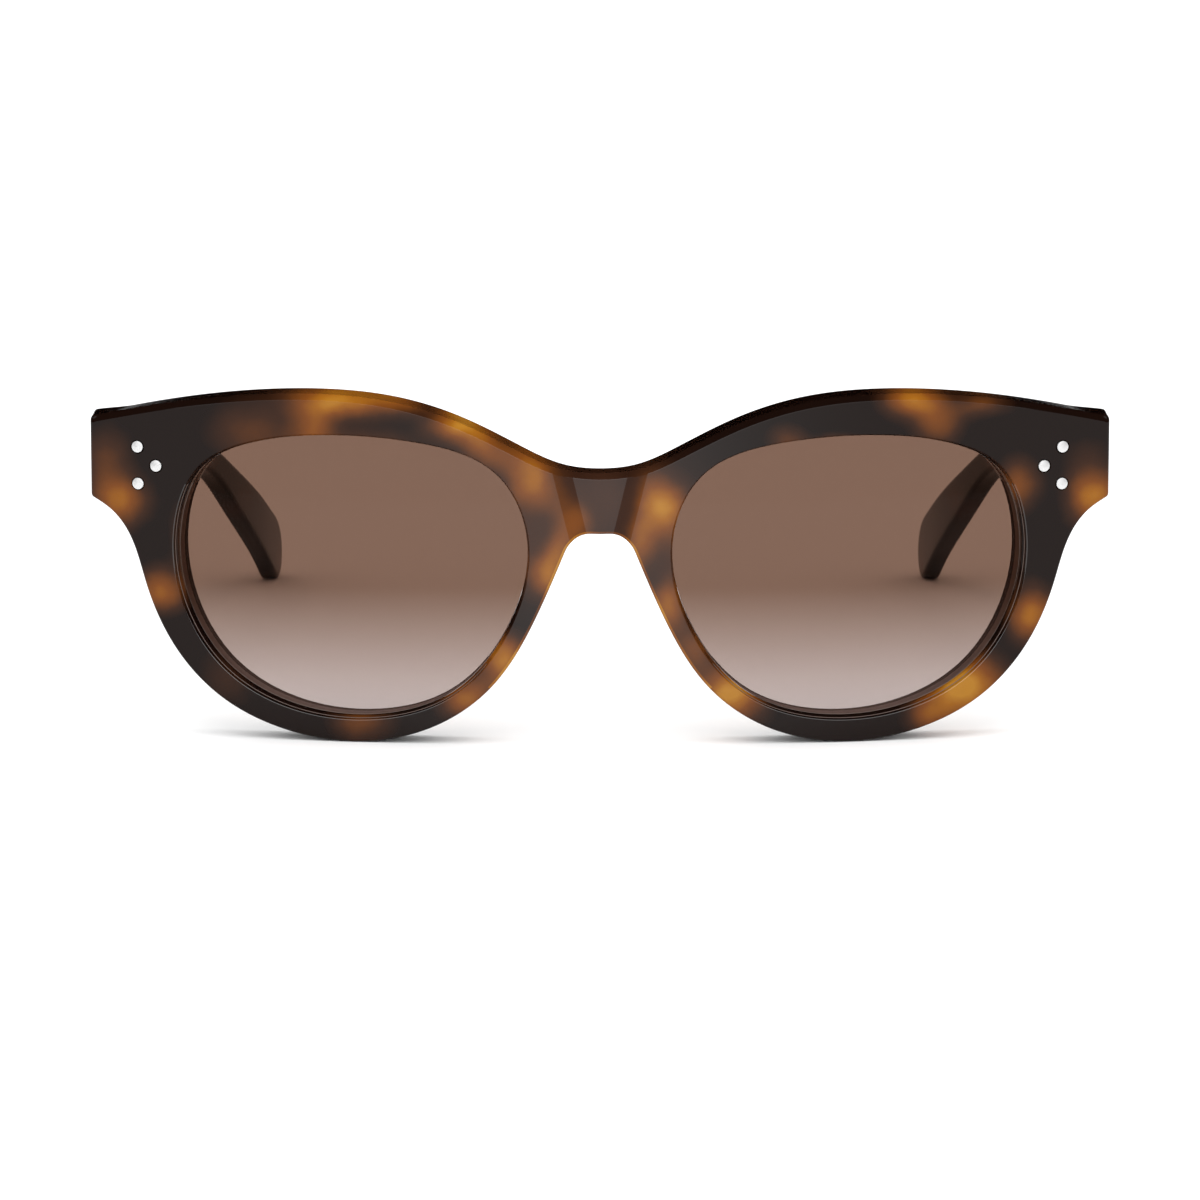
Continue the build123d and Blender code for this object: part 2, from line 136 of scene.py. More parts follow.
TEMPLE_PATCHES = [
    (31.0, 41.5, 7.0, 4.0, 0.62), (52.0, 33.5, 8.0, 3.0, 0.55), (71.0, 35.0, 6.0, 3.0, 0.45),
    (93.0, 27.5, 6.0, 3.0, 0.60), (112.0, 17.0, 6.0, 3.4, 0.20), (135.0, 2.5, 4.0, 4.5, 0.28),
    (20.0, 35.0, 4.0, 3.0, 0.40)]


# -------- settings

def number(name, description, default, **kind):
    """A number that the user can change."""
    return FloatProperty(name=name, description=description, default=default, **kind)


def length(name, description, default):
    """A size in metres."""
    return number(name, description, default, unit="LENGTH")


def colour(name, description, default):
    """A colour that the user can change, as shares of red, green and blue light."""
    return FloatVectorProperty(name=name, description=description, default=default, subtype="COLOR", size=3)


class FrontSizes(bpy.types.PropertyGroup):
    """Sizes of the acetate front."""
    face_radius: length("Face radius", "Radius that the front is bent to", 0.260)
    thickness: length("Thickness", "Thickness of the acetate sheet", 0.0065)
    half_width: length("Half width", "From the bridge's middle to an end piece's wall", 0.074)
    edge_round: length("Edge round", "Radius tumbled onto the edges", 0.0004)
    recess: length("Bridge recess", "Depth of the panel in the bridge", 0.0009)
    chamfer: length("Brow chamfer", "Width and depth of the slant along the brow", 0.00085)
    overall_depth: length("Overall depth", "From the bridge to the temple tips", 0.13825)
    # Painted glow: how much more amber the thin edge by the nose is made, standing in for light shining
    # through it
    painted_edge_glow: number("Edge lift", "How much more amber the thin edge by the nose shows", 0.37)
    # Painted light: a paler matt colour on the ledge, which sits in shade behind the lens
    seat_painted_light: colour("Lens seat", "Colour of the narrow ledge the lens sits behind", (0.155, 0.118, 0.104))


class LensSizes(bpy.types.PropertyGroup):
    """Sizes and tint of the lenses."""
    radius: length("Base curve radius", "Radius of the lens's front surface", 0.131)
    thickness: length("Thickness", "Thickness of the lens", 0.002)
    set_back: length("Set back", "Depth of the lens's middle behind the rim's face", 0.0012)
    edge_gap: length("Edge gap", "From the opening's outline in to the lens's ground edge", 0.00032)
    ground: colour("Ground edge", "Colour of the lens's matt edge", (0.246, 0.187, 0.166))
    tint_top: colour("Upper tint", "Light passed by the upper half", (0.157, 0.092, 0.066))
    tint_bottom: colour("Lower tint", "Light passed at the lower edge", (0.506, 0.439, 0.425))
    fade_from: length("Fade from", "Height where the tint starts to fade", 0.0225)
    fade_to: length("Fade to", "Height where the tint is palest", 0.0030)


class TempleSizes(bpy.types.PropertyGroup):
    """Sizes of the temples."""
    thickness: length("Thickness", "Thickness of the temple's acetate", 0.0038)
    tip_thickness: length("Tip thickness", "Thickness at the temple's tip", 0.0029)
    edge_round: length("Edge round", "Radius tumbled onto the temple's edges", 0.0008)
    end_gap: length("End gap", "Gap between the temple's end and the front", 0.00015)


class PadSizes(bpy.types.PropertyGroup):
    """Sizes of the nose pads; the ends are (across, up)."""
    top: FloatVectorProperty(name="Upper end", description="Where a pad's upper end meets the rim",
                             default=(0.0074, 0.0262), subtype="TRANSLATION", size=2)
    bottom: FloatVectorProperty(name="Lower end", description="Where a pad's lower end meets the rim",
                                default=(0.0131, 0.0130), subtype="TRANSLATION", size=2)
    half_width: length("Half width", "Half the width of a pad", 0.00125)
    stand: length("Stand", "How far a pad stands behind the rim", 0.0038)


class RivetSizes(bpy.types.PropertyGroup):
    """Sizes of the dark rings round the rivet heads."""
    ring_radius: length("Ring radius", "Radius of the recess round a rivet head", 0.00098)
    ring_depth: length("Ring depth", "Depth of the recess round a rivet head", 0.0003)


class AcetateFinish(bpy.types.PropertyGroup):
    """Colours and polish of the tortoise acetate."""
    dark: colour("Dark", "Ground colour of the sheet", (0.0069, 0.0028, 0.0018))
    umber: colour("Umber", "Faint edge of a patch", (0.0355, 0.0123, 0.0049))
    brown: colour("Brown", "Reddish shoulder of a patch", (0.1547, 0.0455, 0.0069))
    amber: colour("Amber", "Body of a patch", (0.2593, 0.0910, 0.0077))
    honey: colour("Honey", "Palest middle of a patch", (0.359, 0.157, 0.017))
    smoke: colour("Smoke", "Thin grey-brown ground near the bridge", (0.0450, 0.0165, 0.0080))
    gloss: number("Gloss", "How strongly the sheet itself mirrors the room", 0.12, min=0, max=1)
    coat_near: number("Coat at the bridge", "Shine of the hand-polished bridge", 0.50, min=0, max=1)
    coat_far: number("Coat elsewhere", "Shine away from the bridge", 0.05, min=0, max=1)
    polish: number("Polish", "Roughness of the polished sheet", 0.09, min=0, max=1)


class StudioSettings(bpy.types.PropertyGroup):
    """Camera and lights."""
    camera_distance: length("Camera distance", "From the lens to the bridge", 1.0)
    camera_rise: number("Camera rise", "Angle of the view above level", math.radians(10.5), subtype="ANGLE")
    camera_aim: length("Aim height", "Height on the bridge that the camera looks at", 0.02139)
    focal_length: number("Focal length", "Focal length in millimetres", 207.9)
    sky: number("Sky", "Strength of the white room light", 1.32)
    key_power: number("Key power", "Watts of the overhead soft light", 9.0)
    card_power: number("Card power", "Watts of the card that polished edges catch", 26.0)


# -------- outlines

def smooth_curve(points, closed=False, start=None, end=None, pitch=PITCH):
    """Points about pitch apart along the smooth curve through the given points."""
    p = np.array(points, float)
    if closed:
        p = np.vstack([p, p[:1]])
    h = np.linalg.norm(np.diff(p, axis=0), axis=1)
    n = len(p)
    rows = np.zeros((n, n))
    wanted = np.zeros((n, 2))
    for i in range(1, n - 1):
        rows[i, i - 1:i + 2] = 1 / h[i - 1], 2 / h[i - 1] + 2 / h[i], 1 / h[i]
        wanted[i] = 3 * ((p[i] - p[i - 1]) / h[i - 1] ** 2 + (p[i + 1] - p[i]) / h[i] ** 2)
    if closed:
        rows[0, [0, 1, n - 2]] = 2 / h[-1] + 2 / h[0], 1 / h[0], 1 / h[-1]
        wanted[0] = 3 * ((p[0] - p[-2]) / h[-1] ** 2 + (p[1] - p[0]) / h[0] ** 2)
        rows[-1, [0, -1]] = 1, -1
    else:
        rows[0, :2] = (1, 0) if start is not None else (2, 1)
        wanted[0] = start if start is not None else 3 * (p[1] - p[0]) / h[0]
        rows[-1, -2:] = (0, 1) if end is not None else (1, 2)
        wanted[-1] = end if end is not None else 3 * (p[-1] - p[-2]) / h[-1]
    slopes = np.linalg.solve(rows, wanted)
    fine = [p[0]]
    for i, span in enumerate(h):
        for t in np.linspace(0, 1, CURVE_STEPS + 1)[1:]:
            a, b = (1 + 2 * t) * (1 - t) ** 2, t * (1 - t) ** 2
            c, d = t * t * (3 - 2 * t), t * t * (t - 1)
            fine.append(a * p[i] + b * span * slopes[i] + c * p[i + 1] + d * span * slopes[i + 1])
    return evenly(np.array(fine), pitch)


def evenly(line, pitch):
    """A line's points, respaced evenly about pitch apart, ends kept."""
    run = np.concatenate([[0], np.cumsum(np.linalg.norm(np.diff(line, axis=0), axis=1))])
    count = max(2, round(run[-1] / pitch) + 1)
    spots = np.linspace(0, run[-1], count)
    return np.column_stack([np.interp(spots, run, line[:, k]) for k in (0, 1)])


def cut_at_x(line, x):
    """The part of a line before it reaches x, ending there."""
    last = int(np.argmax(line[:, 0] >= x))
    share = (x - line[last - 1, 0]) / (line[last, 0] - line[last - 1, 0])
    return np.vstack([line[:last], line[last - 1] + share * (line[last] - line[last - 1])])


def chain_with_rounds(runs, radius, steps=6):
    """One line from runs that meet in corners, with the corners rounded."""
    line = [tuple(q) for q in runs[0]]
    for run in runs[1:]:
        corner = np.array(run[0], float)
        before = np.array(line)
        reach_in = corner - before[-2]
        reach_out = np.array(run[1]) - corner
        u, v = reach_in / np.linalg.norm(reach_in), reach_out / np.linalg.norm(reach_out)
        turn = math.acos(max(-1.0, min(1.0, float(u @ v))))
        tangent = radius * math.tan(turn / 2)
        clear = tangent * 1.2
        line = [q for q in line if np.linalg.norm(corner - q) > clear]
        side = 1 if u[0] * v[1] - u[1] * v[0] > 0 else -1
        centre = corner - u * tangent + side * radius * np.array([-u[1], u[0]])
        for k in range(steps + 1):
            a = side * turn * k / steps
            arm = corner - u * tangent - centre
            line.append((centre[0] + arm[0] * math.cos(a) - arm[1] * math.sin(a),
                         centre[1] + arm[0] * math.sin(a) + arm[1] * math.cos(a)))
        line += [tuple(q) for q in run if np.linalg.norm(corner - q) > clear]
    return np.array(line)


def facet_line(reach, z):
    """Distance of a facet's edge from the bridge's middle at height z."""
    low, high = RECESS_SPAN
    return reach[0] + (reach[1] - reach[0]) * (z - low) / (high - low)


def with_crossings(line, gap, limit=math.inf):
    """The line with points added where gap(x, z) changes sign before x = limit, and their indexes."""
    out, marks = [line[0]], []
    for a, b in zip(line[:-1], line[1:]):
        fa, fb = gap(*a), gap(*b)
        if fa * fb < 0 and max(a[0], b[0]) < limit:
            marks.append(len(out))
            out.append(a + (b - a) * fa / (fa - fb))
        out.append(b)
    return np.array(out), marks


def brow_curve():
    """The whole upper line of half the front."""
    return smooth_curve(BROW_LINE, start=(1, 0), end=BROW_HEADING)


def below_brow(brow):
    """Function for how far a spot on the face lies below the brow, square to it."""
    tilt = np.cos(np.arctan(np.gradient(brow[:, 1], brow[:, 0])))

    def gap(x, z):
        x = abs(x)
        return (np.interp(x, brow[:, 0], brow[:, 1]) - z) * np.interp(x, brow[:, 0], tilt)

    return gap


def front_outline(half_width):
    """Outline of half the front, from the bridge's top out and round to its underside."""
    brow = cut_at_x(brow_curve(), half_width)
    corner = (half_width, END_PIECE_BOTTOM)
    wall = evenly(np.array([brow[-1], corner]), PITCH)
    rim = smooth_curve([corner] + RIM_LINE)
    heading = rim[-1] - rim[-2]
    under = smooth_curve([rim[-1], BRIDGE_SPOT, (0, BRIDGE_UNDERSIDE)],
                         start=heading / np.linalg.norm(heading), end=(-1, 0), pitch=0.35)
    lower = np.vstack([rim, under[1:]])
    return chain_with_rounds([brow, wall, lower], CORNER_ROUND)


def circle(centre, radius, count=40):
    """Round loop, clockwise."""
    turns = [-2 * math.pi * k / count for k in range(count)]
    return np.array([(centre[0] + radius * math.cos(a), centre[1] + radius * math.sin(a)) for a in turns])


def outward(line, closed):
    """Unit normals on the left of a line."""
    if closed:
        along = np.roll(line, -1, axis=0) - np.roll(line, 1, axis=0)
    else:
        along = np.gradient(line, axis=0)
        along[0] = (1, 0)
        along[-1] = (-1, 0)
    along /= np.linalg.norm(along, axis=1)[:, None]
    return np.column_stack([-along[:, 1], along[:, 0]])


def inside(points, loop, *holes):
    """Which points lie inside a closed loop and outside any holes."""
    x, y = points[:, 0], points[:, 1]
    hit = np.zeros(len(points), bool)
    for (x0, y0), (x1, y1) in zip(loop, np.roll(loop, -1, axis=0)):
        if y0 != y1:
            hit ^= ((y0 > y) != (y1 > y)) & (x < (x1 - x0) * (y - y0) / (y1 - y0) + x0)
    for hole in holes:
        hit &= ~inside(points, hole)
    return hit


# -------- plates

class Edge:
    """One boundary of a plate: its line, its outward side, and how it is finished.

    blind is the depth of a hole that doesn't go through. wall lists (step out, depth share) pairs
    down a wall that isn't plain. slant is how steeply the face already falls at the edge. bands
    gives strips of the wall, counted from the front, another material slot where shown is true.
    """

    def __init__(self, line, closed, rounding, is_hole=False, blind=None, marks=(), wall=None, slant=0.0,
                 bands=None, shown=None):
        self.line = line
        self.closed = closed
        self.normals = outward(line, closed) * (-1 if is_hole else 1)
        self.rounding = rounding
        self.blind = blind
        self.marks = marks
        self.wall = wall or [(0.0, s) for s in (0.25, 0.5, 0.75)]
        self.slant = np.zeros(len(line)) + slant
        self.bands = bands or {}
        self.shown = shown(line, self.normals) if shown else np.full(len(line), True)

    def inset(self, distance):
        """The line moved into the material."""
        return self.line - self.normals * np.reshape(distance, (-1, 1))

    def front_line(self):
        """Where the front face ends and the rounding starts."""
        return self.inset(self.rounding * (1 - np.sin(self.slant)))


def band(mesh, a, b, closed=True):
    """Faces between two lines of vertices."""
    ends = range(1, len(a) + closed)
    return [mesh.faces.new([a[n - 1], a[n % len(a)], b[n % len(a)], b[n - 1]]) for n in ends]


class Plate:
    """A thick sheet cut along outlines and bent, with rounded edges, as one closed mesh.

    lattice is the spacing of the points that fill its faces, and steps divides each rounding.
    """
    lattice, steps = 1.5, 6

    def __init__(self, edges, bend, thickness, sunk=None, creases=()):
        self.edges = edges
        self.bend = bend
        self.thickness = thickness
        self.sunk = sunk or (lambda u, v: 0.0)
        self.creases = creases
        self.mesh = bmesh.new()

    def vertex(self, u, v, depth):
        return self.mesh.verts.new(self.bend(u, v, depth))

    def face(self, edges, lines, rings, back, creases):
        """Fills one face between its edges' rings of vertices with triangles."""
        flat, verts, links, loops = [], [], [], []
        for edge, line, ring in zip(edges, lines, rings):
            first = len(flat)
            flat += [tuple(q) for q in line]
            verts += ring
            links += [(first + k, first + k + 1) for k in range(len(ring) - 1)]
            if edge.closed:
                links.append((first + len(ring) - 1, first))
            loops.append(np.array(flat[first:]))
        last = len(rings[0]) - 1
        if not edges[0].closed:
            middle = evenly(np.array([flat[0], flat[last]]), SEAM_PITCH)[1:-1]
            links += self.run([0] + list(range(len(flat), len(flat) + len(middle))) + [last])
            flat += [tuple(q) for q in middle]
            loops[0] = np.vstack([loops[0], middle[::-1]])
        sharp = set()
        for start, stop, path, is_sharp in creases:
            spots = list(range(len(flat), len(flat) + len(path)))
            flat += [tuple(q) for q in path]
            run = self.run([start] * (start is not None) + spots + [stop] * (stop is not None))
            if is_sharp:
                sharp |= set(range(len(links), len(links) + len(run)))
            links += run
        flat += [tuple(q) for q in self.filling(np.array(flat), loops)]
        made = delaunay_2d_cdt([Vector(q) for q in flat], links, [], 0, TOUCHING, True)
        spots = np.array(made[0])
        keep = [k for k, tri in enumerate(made[2]) if len(set(tri)) == 3]
        centres = np.array([spots[made[2][k]].mean(axis=0) for k in keep])
        corners = {}
        for k, kept in zip(keep, inside(centres, *loops)):
            if not kept:
                continue
            for i in made[2][k]:
                if i not in corners:
                    old = [j for j in made[3][i] if j < len(verts)]
                    depth = self.thickness if back else self.sunk(*spots[i])
                    corners[i] = verts[old[0]] if old else self.vertex(*spots[i], depth)
            tri = [corners[i] for i in made[2][k]]
            self.mesh.faces.new(tri if back else tri[::-1])
        for (i, j), source in zip(made[1], made[4]):
            if sharp & set(source) and i in corners and j in corners:
                link = self.mesh.edges.get((corners[i], corners[j]))
                if link:
                    link.smooth = False

    def run(self, spots):
        return list(zip(spots[:-1], spots[1:]))

    def filling(self, flat, loops):
        """Evenly spread points inside the face, clear of its edges."""
        low, high = loops[0].min(axis=0), loops[0].max(axis=0)
        spots = []
        for k, z in enumerate(np.arange(low[1], high[1], self.lattice * ROW_HEIGHT)):
            spots += [(x, z) for x in np.arange(low[0] + (k % 2) * self.lattice / 2, high[0], self.lattice)]
        spots = np.array(spots)
        spots = spots[inside(spots, *loops)]
        gaps = np.min(np.linalg.norm(spots[:, None] - flat[None], axis=2), axis=1)
        return spots[gaps > self.lattice * CLEARANCE]

    def sections(self, edge):
        """Rings of (inset, depth) arrays from the front face down to the back face or a blind floor."""
        r, begin = edge.rounding, edge.slant
        fallen = np.array([self.sunk(u, v) for u, v in edge.front_line()])
        front, low = [], fallen + r * np.cos(begin)
        for k in range(self.steps + 1):
            a = begin + (math.pi / 2 - begin) * k / self.steps
            front.append((r * (1 - np.sin(a)), fallen + r * (np.cos(begin) - np.cos(a))))
        if edge.blind is not None:
            return front + [(np.zeros(len(low)), np.full(len(low), edge.blind))]
        high = self.thickness - r
        wall = [(np.full(len(low), -out), low + (high - low) * share) for out, share in edge.wall]
        out = edge.wall[-1][0]
        turns = [math.pi / 2 * k / self.steps for k in range(self.steps, -1, -1)]
        back = [(np.full(len(low), r * (1 - math.sin(a)) - out),
                 np.full(len(low), self.thickness - r * (1 - math.cos(a)))) for a in turns]
        return front + wall + back

    def build(self):
        """Makes the faces and the edge strips."""
        front_rings, back_rings, back_lines = [], [], []
        for edge in self.edges:
            rings = []
            for inset, depth in self.sections(edge):
                spots = edge.inset(inset)
                rings.append([self.vertex(u, v, d) for (u, v), d in zip(spots, depth)])
            count = len(edge.line)
            for strip, (a, b) in enumerate(zip(rings[:-1], rings[1:])):
                for face, shown in zip(band(self.mesh, a, b, edge.closed), edge.shown):
                    if shown:
                        face.material_index = edge.bands.get(strip, SHEET)
            for a, b in zip(rings[:self.steps], rings[1:]):
                for k in edge.marks:
                    self.mesh.edges.get((a[k], b[k])).smooth = False
            front_rings.append(rings[0])
            if edge.blind is None:
                back_rings.append(rings[-1])
                back_lines.append(spots)
            else:
                hub = self.vertex(*edge.line.mean(axis=0), edge.blind)
                for k in range(count):
                    self.mesh.faces.new([rings[-1][k], rings[-1][(k + 1) % count], hub])
        self.face(self.edges, [e.front_line() for e in self.edges], front_rings, False, self.creases)
        through = [e for e in self.edges if e.blind is None]
        borders = [self.border(e) for e in through if e.rounding < BORDER_INSET]
        self.face(through, back_lines, back_rings, True, borders)
        return self.mesh

    def border(self, edge):
        """A line just inside an edge of the back face, so that the face's outermost triangles are small."""
        path = edge.inset(edge.rounding - edge.wall[-1][0] + BORDER_INSET)
        return None, None, [q for q in path if q[0] > LINE_CLEAR], False


def add_mirror_image(mesh):
    """Adds the other half, and welds the two in the middle."""
    extra = bmesh.ops.duplicate(mesh, geom=mesh.verts[:] + mesh.edges[:] + mesh.faces[:])["geom"]
    flipped = [g for g in extra if isinstance(g, bmesh.types.BMVert)]
    bmesh.ops.scale(mesh, vec=MIRROR, verts=flipped)
    middle = [v for v in mesh.verts if abs(v.co.x) < ON_MIDDLE]
    bmesh.ops.remove_doubles(mesh, verts=middle, dist=WELD)


def add_object(name, data):
    """Object in the scene that holds the data."""
    obj = bpy.data.objects.new(name, data)
    bpy.context.scene.collection.objects.link(obj)
    return obj


def finish_mesh(mesh, name, materials, side="left", level=True):
    """Object from a left piece's bmesh, smooth shaded, with normals led by its large faces if asked."""
    if side == "right":
        bmesh.ops.scale(mesh, vec=MIRROR, verts=mesh.verts[:])
        bmesh.ops.reverse_faces(mesh, faces=mesh.faces[:])
    bmesh.ops.recalc_face_normals(mesh, faces=mesh.faces[:])
    for f in mesh.faces:
        f.smooth = True
    data = bpy.data.meshes.new(name)
    mesh.to_mesh(data)
    mesh.free()
    obj = add_object(name, data)
    for material in materials:
        data.materials.append(material)
    if level:
        weighted = obj.modifiers.new("Level normals", "WEIGHTED_NORMAL")
        weighted.keep_sharp = True
        weighted.weight = 90
    return obj


# -------- shading

LEFT_AT_REACH = 0.32  # share of a patch's strength that is left at its reach
PATCH_BENDS = ((70.0, 0.003), (320.0, 0.0008))  # noise scales and the shifts they give, in metres
CLOUD_SCALE, CLOUD_SHARE, CLOUD_ALONE = 150.0, 0.28, 0.05
FACET_SHARPNESS = 20.0  # how fast the coat returns past a bridge facet's edge, for each millimetre
POLISH_REACH = 19.0  # millimetres from the middle to where half of the bridge's extra shine is left
ACETATE_IOR, LENS_IOR = 1.49, 1.08  # the lens's is low, as it is coated against reflections
ROUNDING_SHINE, LENS_POLISH, GROUND_ROUGHNESS = 0.5, 0.05, 0.6
GRAIN_SCALE, WEAR_SCALE, WORN_SHADE, WORN_ROUGHNESS = 1500.0, 260.0, 0.88, 0.05
GRAIN_DEPTH = 0.00002  # metres


class Field:
    """A number in a material that varies over the surface."""

    def __init__(self, tree, socket):
        self.tree = tree
        self.socket = socket

    def math(self, operation, a, b=0.0):
        return self.tree.math(operation, a, b)

    def __add__(self, other):
        return self.math("ADD", self, other)

    __radd__ = __add__

    def __sub__(self, other):
        return self.math("SUBTRACT", self, other)

    def __rsub__(self, other):
        return self.math("SUBTRACT", other, self)

    def __mul__(self, other):
        return self.math("MULTIPLY", self, other)

    __rmul__ = __mul__

    def __truediv__(self, other):
        return self.math("DIVIDE", self, other)

    def __rpow__(self, other):
        return self.math("POWER", other, self)

    def clamped(self):
        """The number kept between 0 and 1."""
        return self.math("MINIMUM", self.math("MAXIMUM", self), 1.0)


class Finish:
    """A material being written: its node tree and the ways to add to it."""

    def __init__(self, name):
        self.material = bpy.data.materials.new(name)
        self.material.use_nodes = True
        self.nodes = self.material.node_tree.nodes
        self.links = self.material.node_tree.links
        self.nodes.clear()

    def add(self, kind, settings=None, **sockets):
        """A node of that type, with its settings made first and its sockets filled or linked."""
        node = self.nodes.new("ShaderNode" + kind)
        for key, value in (settings or {}).items():
            if key == "stops":
                ramp = node.color_ramp
                while len(ramp.elements) < len(value):
                    ramp.elements.new(0.5)
                for element, (place, shade) in zip(ramp.elements, value):
                    element.position = place
                    element.color = (*shade, 1)
            else:
                setattr(node, key, value)
        for key, value in sockets.items():
            index = int(key[1:]) if key[0] == "_" else key.replace("_", " ")
            self.fill(node.inputs[index], value)
        return node

    def fill(self, socket, value):
        if isinstance(value, Field):
            value = value.socket
        if isinstance(value, bpy.types.NodeSocket):
            self.links.new(value, socket)
        else:
            socket.default_value = value

    def math(self, operation, a, b=0.0):
        return Field(self, self.add("Math", {"operation": operation}, _0=a, _1=b).outputs[0])

    def vector(self, operation, a, b):
        return self.add("VectorMath", {"operation": operation}, _0=a, _1=b).outputs[0]

    def noise(self, where, scale, detail=2.0, roughness=0.5):
        return self.add("TexNoise", Vector=where, Scale=scale, Detail=detail, Roughness=roughness)

    def place(self):
        return self.add("TexCoord").outputs["Object"]

    def split(self, vector):
        node = self.add("SeparateXYZ", _0=vector)
        return [Field(self, socket) for socket in node.outputs]

    def show(self, shader):
        self.add("OutputMaterial", Surface=shader)
        return self.material


def patch_sum(along, up, patches, along_shift=0.0):
    """How amber the sheet is, from soft patches on two axes in metres."""
    total = None
    for a, b, reach_a, reach_b, strength in patches:
        u = (along - (a * MM + along_shift)) / (reach_a * MM)
        v = (up - b * MM) / (reach_b * MM)
        soft = strength * (LEFT_AT_REACH ** (u * u + v * v))
        total = soft if total is None else total + soft
    return total


def acetate(name, polished=False, glow=0.0, temple=False):
    """Tortoise acetate, placed by the front's patches or a temple's, with a painted glow added where asked.
    """
    look, sizes = bpy.context.scene.acetate_finish, bpy.context.scene.front_sizes
    tree = Finish(name)
    here = moved = tree.place()
    for scale, shift in PATCH_BENDS:
        bend = tree.vector("SUBTRACT", tree.noise(here, scale).outputs["Color"], (0.5, 0.5, 0.5))
        moved = tree.vector("ADD", moved, tree.vector("MULTIPLY", bend, (shift, shift, shift)))
    x, y, z = tree.split(moved)
    if temple:
        amount = patch_sum(y, z, TEMPLE_PATCHES, -sizes.overall_depth / 2)
    else:
        right = patch_sum(x * -1.0, z, FRONT_PATCHES_RIGHT)
        amount = right + patch_sum(x, z, FRONT_PATCHES_LEFT)
    cloud = Field(tree, tree.noise(here, CLOUD_SCALE, 3.0, 0.55).outputs[0])
    # The amount added on a lit edge is a painted glow, not a colour of the sheet.
    amount = amount * (1 - CLOUD_SHARE / 2 + cloud * CLOUD_SHARE) + (cloud - 0.5) * CLOUD_ALONE + glow
    ramp = tree.add("ValToRGB", {"stops": [
        (0.0, look.dark), (0.05, look.dark), (0.23, look.umber), (0.60, look.brown), (0.83, look.amber),
        (1.0, look.honey)]}, Fac=amount.clamped())
    shade, coat = ramp.outputs[0], look.coat_far
    if not temple:
        haze = patch_sum(x, z, SMOKY_PATCHES) + patch_sum(x * -1.0, z, SMOKY_PATCHES[1:])
        haze = haze.clamped() * (1.0 - (amount * 2.0).clamped())
        shade = tree.add("Mix", {"data_type": "RGBA"}, _0=haze, _6=shade, _7=(*look.smoke, 1)).outputs[2]
        across, _, up = tree.split(here)
        across, up = tree.math("ABSOLUTE", across) / MM, up / MM
        far, near = facet_line(RECESS_OUTER, up), facet_line(RECESS_INNER, up)
        on_facet = (tree.math("MINIMUM", far - across, across - near) * FACET_SHARPNESS).clamped()
        reach = across / POLISH_REACH
        coat = look.coat_far + (look.coat_near - look.coat_far) * (0.5 ** (reach * reach))
        coat = coat * (1.0 - on_facet)
    shader = tree.add("BsdfPrincipled", Base_Color=shade, Roughness=look.polish, IOR=ACETATE_IOR,
                      Coat_Weight=ROUNDING_SHINE if polished else coat)
    shader.inputs["Specular IOR Level"].default_value = ROUNDING_SHINE if polished else look.gloss
    shader.inputs["Coat Roughness"].default_value = look.polish
    return tree.show(shader.outputs[0])


def lens_tint():
    """Gradient tint: the lens passes less light in its upper half."""
    sizes = bpy.context.scene.lens_sizes
    tree = Finish("lens_tint")
    height = tree.split(tree.place())[2]
    share = ((sizes.fade_from - height) / (sizes.fade_from - sizes.fade_to)).clamped()
    dark, pale = [tree.add("BsdfTransparent", Color=(*[math.sqrt(c) for c in tint], 1)).outputs[0]
                  for tint in (sizes.tint_top, sizes.tint_bottom)]
    through = tree.add("MixShader", _0=share, _1=dark, _2=pale)
    gloss = tree.add("BsdfGlossy", Color=(1, 1, 1, 1), Roughness=LENS_POLISH)
    edge_on = tree.add("Fresnel", IOR=LENS_IOR)
    both = tree.add("MixShader", _0=edge_on.outputs[0], _1=through.outputs[0], _2=gloss.outputs[0])
    return tree.show(both.outputs[0])


def metal(name, base, rough, brushed=False):
    """Metal with a fine uneven polish, and brush lines where asked."""
    stretch, streaks, relief = (12.0, 0.10, 0.12) if brushed else (1.0, 0.03, 0.03)
    tree = Finish(name)
    here = tree.place()
    drawn = tree.vector("MULTIPLY", here, (1.0, 1.0, stretch))
    grain = Field(tree, tree.noise(drawn, GRAIN_SCALE, 3.0).outputs[0])
    wear = Field(tree, tree.noise(here, WEAR_SCALE).outputs[0])
    worn = (*[c * WORN_SHADE for c in base], 1)
    shade = tree.add("Mix", {"data_type": "RGBA"}, _0=wear, _6=worn, _7=(*base, 1))
    bump = tree.add("Bump", Strength=relief, Distance=GRAIN_DEPTH, Height=grain)
    shader = tree.add("BsdfPrincipled", Base_Color=shade.outputs[2], Metallic=1.0,
                      Roughness=rough + grain * streaks + wear * WORN_ROUGHNESS, Normal=bump.outputs[0])
    return tree.show(shader.outputs[0])


def matt(name, base, rough):
    """Even surface without any shine."""
    tree = Finish(name)
    shader = tree.add("BsdfPrincipled", Base_Color=(*base, 1), Roughness=rough)
    shader.inputs["Specular IOR Level"].default_value = 0.0
    return tree.show(shader.outputs[0])


# -------- pieces

def front_plane():
    """Y of the bridge's front, in the row frame."""
    return -bpy.context.scene.front_sizes.overall_depth / 2


def on_face(x, z, depth):
    """Row-frame position of a point of the front, from its place on the face and its depth."""
    sizes = bpy.context.scene.front_sizes
    reach = sizes.face_radius - depth
    upright = min(1.0, max(0.0, (abs(x) - STRAIGHT_FROM * MM) / (STRAIGHT_OVER * MM)))
    upright = upright * upright * (3 - 2 * upright)
    side = x * (reach / sizes.face_radius) * (1 - upright) + x * upright
    y = sizes.face_radius - math.sqrt(reach ** 2 - side ** 2)
    return Vector((side, front_plane() + y, z))


def rivet_recess(x, z):
    """Edge of the blind recess round a rivet's head."""
    rings = bpy.context.scene.rivet_sizes
    return Edge(circle((x, z), rings.ring_radius / MM), True, RING_ROUND, is_hole=True,
                blind=rings.ring_depth / MM)


